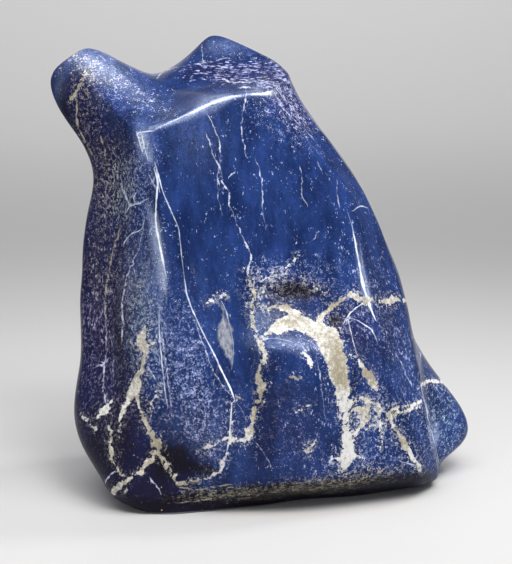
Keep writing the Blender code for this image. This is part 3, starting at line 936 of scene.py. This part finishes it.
def buildMesh(name, vertices, quads, triangles):
    data = bpy.data.meshes.new(name)
    data.vertices.add(len(vertices))
    data.vertices.foreach_set("co", (vertices * mm).astype(np.float32).ravel())
    loops = np.concatenate([quads.ravel(), triangles.ravel()])
    sizes = np.concatenate([np.full(len(quads), 4), np.full(len(triangles), 3)])
    data.loops.add(len(loops))
    data.loops.foreach_set("vertex_index", loops.astype(np.int32))
    data.polygons.add(len(sizes))
    data.polygons.foreach_set("loop_start", np.append(0, np.cumsum(sizes)[:-1]).astype(np.int32))
    data.update(calc_edges=True)
    data.validate()
    data.shade_smooth()
    made = bpy.data.objects.new(name, data)
    bpy.context.scene.collection.objects.link(made)
    return made


def addFields(stone, shape, fields):
    # each field is a vector at every vertex, in the order of the mesh
    rows, columns = shape[:2]
    for name, values in fields.items():
        values = values.reshape(rows, columns, 3)
        values = np.concatenate([values[1:-1].reshape(-1, 3), values[:1].mean(1), values[-1:].mean(1)])
        layer = stone.data.attributes.new(name, "FLOAT_VECTOR", "POINT")
        layer.data.foreach_set("vector", values.astype(np.float32).ravel())


stone = buildMesh("polishedStone", *poleClosed(grid))
addFields(stone, grid.shape, fields)
print("stone built:", len(stone.data.polygons), "faces")


class Signal:
    # wraps one socket of the tree being drawn, so that sums of signals add the nodes for them
    tree = None

    def __init__(self, socket):
        self.socket = socket

    @classmethod
    def node(cls, kind, settings, sockets, output=0):
        made = cls.tree.nodes.new(kind)
        for name, value in settings.items():
            setattr(made, name, value)
        for key, value in sockets.items():
            target = made.inputs[key]
            if isinstance(value, Signal):
                cls.tree.links.new(value.socket, target)
            else:
                target.default_value = value
        return cls(made.outputs[output])

    def maths(self, operation, other, swapped=False, clamp=False):
        first, second = (other, self) if swapped else (self, other)
        return Signal.node("ShaderNodeMath", {"operation": operation, "use_clamp": clamp}, {0: first, 1: second})

    def __add__(self, other):
        return self.maths("ADD", other)

    __radd__ = __add__

    def __mul__(self, other):
        return self.maths("MULTIPLY", other)

    __rmul__ = __mul__

    def __sub__(self, other):
        return self.maths("SUBTRACT", other)

    def __rsub__(self, other):
        return self.maths("SUBTRACT", other, swapped=True)

    def __abs__(self):
        return self.maths("ABSOLUTE", 0.0)

    def held(self):
        return self.maths("ADD", 0.0, clamp=True)

    def most(self, other):
        return self.maths("MAXIMUM", other)

    def least(self, other):
        return self.maths("MINIMUM", other)

    def step(self, low, high):
        # smoothly from 0 at low to 1 at high
        sockets = {"Value": self, "From Min": low, "From Max": high}
        return Signal.node("ShaderNodeMapRange", {"interpolation_type": "SMOOTHSTEP"}, sockets)

    def into(self, first, second):
        # the first colour turns to the second as this share goes from 0 to 1
        sockets = {0: self, 6: asColour(first), 7: asColour(second)}
        return Signal.node("ShaderNodeMix", {"data_type": "RGBA"}, sockets, 2)


def asColour(value):
    return value if isinstance(value, Signal) else (*value, 1)


def vectorMaths(operation, first, second):
    return Signal.node("ShaderNodeVectorMath", {"operation": operation}, {0: first, 1: second})


def parts(vector):
    apart = Signal.node("ShaderNodeSeparateXYZ", {}, {0: vector})
    return [Signal(socket) for socket in apart.socket.node.outputs]


def field(name):
    return parts(Signal.node("ShaderNodeAttribute", {"attribute_name": name}, {}, "Vector"))


def noise(place, size, detail=2.0, rough=0.55, distortion=0.0):
    # size is in millimetres from one lump to the next
    sockets = {"Vector": place, "Scale": 1 / size, "Detail": detail, "Roughness": rough, "Distortion": distortion}
    return Signal.node("ShaderNodeTexNoise", {}, sockets, "Fac")


def cells(place, size, output):
    # size is in millimetres from one cell to the next
    sockets = {"Vector": place, "Scale": 1 / size, "Randomness": 1.0}
    return Signal.node("ShaderNodeTexVoronoi", {"feature": "F1"}, sockets, output)


# Colours are linear red, green and blue; sizes are millimetres.
lapis = {
    "deep": (0.0075, 0.0185, 0.078),
    "blue": (0.0165, 0.041, 0.158),
    "bright": (0.030, 0.070, 0.285),
    # milky blue of paler stone, also the colour of the painted highlights
    "milkyAndSheen": (0.27, 0.35, 0.58),
    "violet": (0.0135, 0.0115, 0.046),
    # near-black of darker stone, also the colour of the painted shade
    "nightAndShade": (0.007, 0.005, 0.009),
    "paleFleck": (0.46, 0.56, 0.96),
    "pinkFleck": (0.50, 0.44, 0.70),
    "tanFleck": (0.56, 0.52, 0.37),
    "tealFleck": (0.44, 0.64, 0.72),
    "calciteWhite": (0.82, 0.81, 0.79),
    "calciteCream": (0.50, 0.47, 0.37),
    "calciteTan": (0.34, 0.29, 0.20),
    "calciteGrey": (0.20, 0.20, 0.22),
    "greyFill": (0.37, 0.38, 0.42),
    # the pale thread and line colours also paint the highlight lines along the ridges
    "threadPale": (0.72, 0.76, 0.92),
    "linePale": (0.80, 0.86, 1.00),
    "threadTan": (0.46, 0.42, 0.31),
    "pyrite": (0.70, 0.52, 0.22),
    "gloss": 0.085,
    "roughness": 0.17,
    "calciteRoughness": 0.34,
    "sawnRoughness": 0.55,
    "polishIor": 2.0,
    "polishRoughness": 0.2,
}


def groundBlue(place, upright, lump, hues, tones):
    # clouds of deeper and brighter blue, drawn out upwards, with a granular shimmer, brighter too under the painted
    # highlights; then the violet, the near-black of darker stone and painted shade, and the milky blue of paler
    # stone and painted highlights
    violet, dark, light = hues[0], tones[0], tones[1]
    cloud = noise(upright, 11.0, 4.0, 0.6)
    veil = noise(upright, 2.4, 3.0, 0.65)
    shimmer = noise(place, 0.7, 3.0, 0.7)
    colour = cloud.step(0.34, 0.64).into(lapis["deep"], lapis["blue"])
    colour = ((veil - 0.5) * 1.7 + (cloud - 0.5) + light * 0.6).held().into(colour, lapis["bright"])
    colour = (shimmer.step(0.50, 0.80) * 0.45).into(colour, lapis["bright"])
    colour = (shimmer.step(0.50, 0.24) * 0.75).into(colour, lapis["deep"])
    colour = ((violet + (lump - 0.5) * 0.5).step(0.15, 0.9) * 0.85).into(colour, lapis["violet"])
    colour = ((dark + (lump - 0.5) * 0.4).step(0.1, 1.0) * 0.92).into(colour, lapis["nightAndShade"])
    return (light * ((shimmer - 0.5) * 3.2 + (veil - 0.5) * 1.2 + 0.72)).held().into(colour, lapis["milkyAndSheen"])


def fleckShare(place, clump, flecks, curl, near, across):
    # round grains, curled threads, larger blotches and drawn-out streaks, each thicker where its field is high
    grain, blotch, streak = flecks
    dots = (noise(place, 0.85, 2.0, 0.6) + clump - (0.735 - grain * 0.18)).step(0.0, 0.035)
    swirl = noise(place, 2.8, 2.0, 0.6, distortion=1.0)
    broken = (noise(place, 1.6, 2.0, 0.6) + clump * 0.5 + curl * 0.05).step(0.50, 0.57)
    contour = abs(swirl - 0.5).least(abs(swirl - 0.60)).least(abs(swirl - 0.41))
    curls = (curl * 0.028 + near * 0.008 - contour).step(0.0, 0.009) * broken
    coarse = (noise(place, 1.7, 4.0, 0.72) + clump - (0.72 - blotch * 0.16 - near * 0.05)).step(0.0, 0.03)
    drawnUp = noise(vectorMaths("MULTIPLY", place, (1.0, 1.0, 0.22)), 0.62, 2.0, 0.55)
    drawnAcross = noise(vectorMaths("MULTIPLY", place, (0.2, 1.0, 1.0)), 0.72, 2.0, 0.55)
    drawn = (drawnUp + (drawnAcross - drawnUp) * across + clump - (0.72 - streak * 0.18)).step(0.0, 0.05) * 0.9
    return dots.most(curls * 0.9).most(coarse).most(drawn)


def threadShare(side, gap, half, wobble, broken):
    # inside the half width, thinner and fainter where it breaks; only wide threads are bright all along
    core = (abs(side + wobble) - half * (broken * 0.65 + 0.12)).step(0.18, -0.14)
    return core * (gap - half).step(1.1, 0.5) * (half.step(0.15, 0.55) * 0.55 + 0.3) * (broken * 0.6 + 0.4)


def calciteColour(place, tan):
    # white turning to cream and tan in patches, with fine grey veining
    patches = noise(place, 2.2, 4.0, 0.75) - 0.5
    grit = noise(place, 0.8, 3.0, 0.7) - 0.5
    colour = (tan * 1.4 + patches * 3.2 - 0.12).held().into(lapis["calciteWhite"], lapis["calciteCream"])
    colour = (tan * 1.3 - 0.42 + patches * 3.4 + grit * 2.2).held().into(colour, lapis["calciteTan"])
    veining = abs(noise(place, 1.9, 3.0, 0.6) - 0.5).step(0.02, 0.0) * 0.45
    return veining.most(grit.step(0.08, 0.18) * (tan * 0.35 + 0.35)).into(colour, lapis["calciteGrey"])


def lapisMaterial():
    material = bpy.data.materials.new("polishedLapis")
    material.use_nodes = True
    tree = material.node_tree
    Signal.tree = tree
    shader = tree.nodes["Principled BSDF"]
    shader.inputs["Specular IOR Level"].default_value = lapis["gloss"]
    shader.inputs["Coat IOR"].default_value = lapis["polishIor"]
    shader.inputs["Coat Roughness"].default_value = lapis["polishRoughness"]

    position = Signal.node("ShaderNodeTexCoord", {}, {}, "Object")
    place = vectorMaths("MULTIPLY", position, (1000.0, 1000.0, 1000.0))
    upright = vectorMaths("MULTIPLY", place, (1.0, 1.0, 0.28))
    height = parts(place)[2]
    calciteDepth, greyDepth, _ = field("calciteAndGrey")
    flecks, hues, tones = field("flecks"), field("hues"), field("tones")
    # the shade tone carries darker stone and painted shade; the light tone carries milkier blue and the painted
    # highlights
    (violet, tan, teal), (dark, light, across) = hues, tones
    curl, polish, _ = field("finish")
    lump = noise(place, 7.0, 3.0, 0.6)
    clump = (noise(place, 4.0, 2.0, 0.5) - 0.5) * 0.4
    near = calciteDepth.step(-4.5, -0.2)

    ground = groundBlue(place, upright, lump, hues, tones)
    fleckColour = (violet * 0.9).held().into(lapis["paleFleck"], lapis["pinkFleck"])
    fleckColour = (tan + (lump - 0.5) * 0.6).held().into(fleckColour, lapis["tanFleck"])
    fleckColour = (teal * 0.8).held().into(fleckColour, lapis["tealFleck"])
    # flecks turn white under the milkier blue and the painted highlights, and near the calcite
    fleckColour = (light * 0.8).most(near * 0.6).held().into(fleckColour, lapis["calciteWhite"])
    fleckMask = fleckShare(place, clump, flecks, curl, near, across)
    faded = noise(place, 2.0, 2.0, 0.6).step(0.36, 0.60) * 0.75 + 0.25
    # flecks fade where the darker stone and the painted shade lie
    fleckMask = fleckMask * faded * (1.0 - dark * 0.5)
    stone = fleckMask.into(ground, fleckColour)

    # edges of the fillings wander widely and finely
    wander = (noise(place, 3.4, 2.0, 0.5) - 0.5) * 3.0
    fineWander = (noise(place, 0.9, 3.0, 0.65) - 0.5) * 2.0 + (0.42 - cells(place, 1.6, "Distance")) * 1.1
    fibres = noise(upright, 1.3, 4.0, 0.7).step(0.30, 0.62) * 0.8 + 0.2
    greyMask = (greyDepth + fineWander * 0.8).step(-0.3, 1.6) * fibres
    stone = greyMask.into(stone, lapis["greyFill"])

    wobble = (noise(place, 0.9, 2.0) - 0.5) * 0.8
    broken = noise(place, 3.0, 2.0, 0.6).step(0.36, 0.60)
    # pale threads, some of them painted highlights along the ridges
    palePaint = threadShare(*field("paleThread"), wobble, broken)
    tanPaint = threadShare(*field("tanThread"), wobble * 1.6, broken)
    threadColour = (violet * 0.2).held().into(lapis["threadPale"], lapis["pinkFleck"])
    stone = palePaint.into(stone, threadColour)
    stone = tanPaint.into(stone, lapis["threadTan"])
    # the crisp lines: healed cracks, twigs, and painted highlights along the ridges
    linePaint = threadShare(*field("lineThread"), wobble * 0.3, broken * 0.25 + 0.75)
    stone = (linePaint * 1.25).held().into(stone, lapis["linePale"])

    calciteMask = (calciteDepth - 0.15 + wander + fineWander).step(-0.10, 0.10)
    calciteMask = calciteMask * ((calciteDepth + wander).step(-0.2, 0.8) * 0.3 + 0.7)
    stone = calciteMask.into(stone, calciteColour(place, tan))

    # scattered pyrite, finer than a pinhead
    pick = parts(cells(place, 2.4, "Color"))[0]
    pyrite = cells(place, 2.4, "Distance").step(0.16, 0.10) * pick.step(0.965, 0.975)
    stone = pyrite.into(stone, lapis["pyrite"])

    # the resting face is sawn, not polished
    sawn = height.step(1.2, 0.3)
    stone = (sawn * 0.55).into(stone, lapis["greyFill"])

    roughness = lapis["roughness"] + (lump - 0.5) * 0.06
    roughness = roughness + calciteMask * (lapis["calciteRoughness"] - lapis["roughness"])
    roughness = roughness + fleckMask * 0.05 + dark * 0.3 + sawn * (lapis["sawnRoughness"] - lapis["roughness"])
    pitted = calciteMask * 0.5 + fleckMask * 0.15 + dark * 0.25 + 0.04
    unevenness = noise(place, 0.7, 3.0) * pitted + noise(place, 5.0, 2.0) * 0.3
    bump = Signal.node("ShaderNodeBump", {}, {"Strength": 0.35, "Distance": 0.00012, "Height": unevenness})
    for key, signal in (
        ("Base Color", stone), ("Roughness", roughness), ("Metallic", pyrite * 0.8), ("Coat Weight", polish),
        ("Normal", bump),
    ):
        tree.links.new(signal.socket, shader.inputs[key])
    print("material drawn:", len(tree.nodes), "nodes")
    return material


stone.data.materials.append(lapisMaterial())
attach(stone, "root")
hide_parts("lapis_stone")

# Floor and backdrop in one sheet: level under the stone, then curving up behind it.
studio = {
    "halfWidth": 3.2,
    "front": -2.6,
    "bend": 1.3,                # where the floor starts to rise
    "radius": 0.9,
    "height": 2.6,
    "colour": (0.68, 0.67, 0.66),
    "roughness": 0.6,
}


def studioSheet():
    # across by along: the profile runs level, turns a quarter of a circle and stands up
    turn = np.linspace(0, math.pi / 2, 24)
    flat = np.linspace(studio["front"], studio["bend"], 12)[:-1]
    rise = np.linspace(studio["radius"], studio["height"], 8)[1:]
    wall = np.full(len(rise), studio["bend"] + studio["radius"])
    y = np.concatenate([flat, studio["bend"] + studio["radius"] * np.sin(turn), wall])
    z = np.concatenate([np.zeros(len(flat)), studio["radius"] * (1 - np.cos(turn)), rise])
    x = np.linspace(-studio["halfWidth"], studio["halfWidth"], 9)
    sheet = np.stack(np.broadcast_arrays(x[None, :], y[:, None], z[:, None]), 2) / mm
    rows, columns = sheet.shape[:2]
    index = np.arange(rows * columns).reshape(rows, columns)
    quads = np.stack([index[:-1, :-1], index[:-1, 1:], index[1:, 1:], index[1:, :-1]], 2).reshape(-1, 4)
    return sheet.reshape(-1, 3), quads, np.zeros((0, 3), int)


floor = buildMesh("studioFloor", *studioSheet())
paper = bpy.data.materials.new("paleStudio")
paper.use_nodes = True
paperShader = paper.node_tree.nodes["Principled BSDF"]
paperShader.inputs["Base Color"].default_value = (*studio["colour"], 1)
paperShader.inputs["Roughness"].default_value = studio["roughness"]
floor.data.materials.append(paper)

# Lights by where they stand round the stone: azimuth from the camera to the right, elevation, distance in metres,
# size across and up in metres, brightness, and how widely the lamp spreads, in degrees.
lights = {
    "bank": {
        "azimuth": -8, "elevation": 62, "distance": 1.05, "size": (0.95, 0.28),
        "power": 2.03, "colour": (1.0, 0.99, 0.98), "spread": 100,
    },
    "key": {
        "azimuth": 62, "elevation": 60, "distance": 1.2, "size": (0.4, 0.35),
        "power": 0.76, "colour": (1.0, 0.99, 0.98), "spread": 90,
    },
    "overhead": {
        "azimuth": 50, "elevation": 77, "distance": 1.0, "size": (0.35, 0.35),
        "power": 0.35, "colour": (1.0, 1.0, 1.0), "spread": 90,
    },
    "rimGlow": {
        "azimuth": 26, "elevation": 51, "distance": 1.1, "size": (0.42, 0.32),
        "power": 0.65, "colour": (1.0, 1.0, 1.0), "spread": 70,
    },
    "rimRight": {
        "azimuth": 112, "elevation": 48, "distance": 1.1, "size": (0.22, 0.22),
        "power": 0.32, "colour": (1.0, 1.0, 1.0), "spread": 60,
    },
    "leftLow": {
        "azimuth": -66, "elevation": 8, "distance": 1.1, "size": (0.4, 0.3),
        "power": 0.11, "colour": (0.94, 0.97, 1.0), "spread": 60,
    },
    "rightStrip": {
        "azimuth": 60, "elevation": 13, "distance": 1.1, "size": (0.1, 0.3),
        "power": 0.06, "colour": (0.94, 0.97, 1.0), "spread": 60,
    },
    "wash": {
        "azimuth": 180, "elevation": 62, "distance": 2.0, "size": (1.6, 0.5),
        "power": 14.0, "colour": (1.0, 1.0, 1.0), "spread": 120, "aim": (0.0, 2.3, 0.7),
    },
}


def addLight(name, light):
    # a lamp faces the stone, or the point it is aimed at
    azimuth, elevation = math.radians(light["azimuth"]), math.radians(light["elevation"])
    level = math.cos(elevation)
    direction = Vector((math.sin(azimuth) * level, -math.cos(azimuth) * level, math.sin(elevation)))
    data = bpy.data.lights.new(name, "AREA")
    data.shape = "RECTANGLE"
    data.size, data.size_y = light["size"]
    data.energy = light["power"]
    data.color = light["colour"]
    data.spread = math.radians(light["spread"])
    lamp = bpy.data.objects.new(name, data)
    lamp.location = Vector(view["target"]) * mm + direction * light["distance"]
    away = lamp.location - Vector(light["aim"]) if "aim" in light else direction
    lamp.rotation_euler = away.to_track_quat("Z", "Y").to_euler()
    bpy.context.scene.collection.objects.link(lamp)


for name, light in lights.items():
    addLight(name, light)

air = {"colour": (0.9, 0.93, 1.0), "strength": 0.31}
world = bpy.data.worlds.new("studioAir")
world.use_nodes = True
background = world.node_tree.nodes["Background"]
background.inputs["Color"].default_value = (*air["colour"], 1)
background.inputs["Strength"].default_value = air["strength"]
bpy.context.scene.world = world
print("studio set up:", len(lights), "lights")

cameraData = bpy.data.cameras.new("pictureCamera")
cameraData.lens = view["lens"]
cameraData.sensor_width = view["sensor"]
cameraData.clip_start = 0.05
camera = bpy.data.objects.new("pictureCamera", cameraData)
backwards = Vector((0, -math.cos(view["elevation"]), math.sin(view["elevation"])))
camera.location = Vector(view["target"]) * mm + backwards * view["distance"] * mm
camera.rotation_euler = (math.pi / 2 - view["elevation"], 0, 0)
bpy.context.scene.collection.objects.link(camera)
bpy.context.scene.camera = camera
bpy.context.scene.view_settings.view_transform = "Standard"
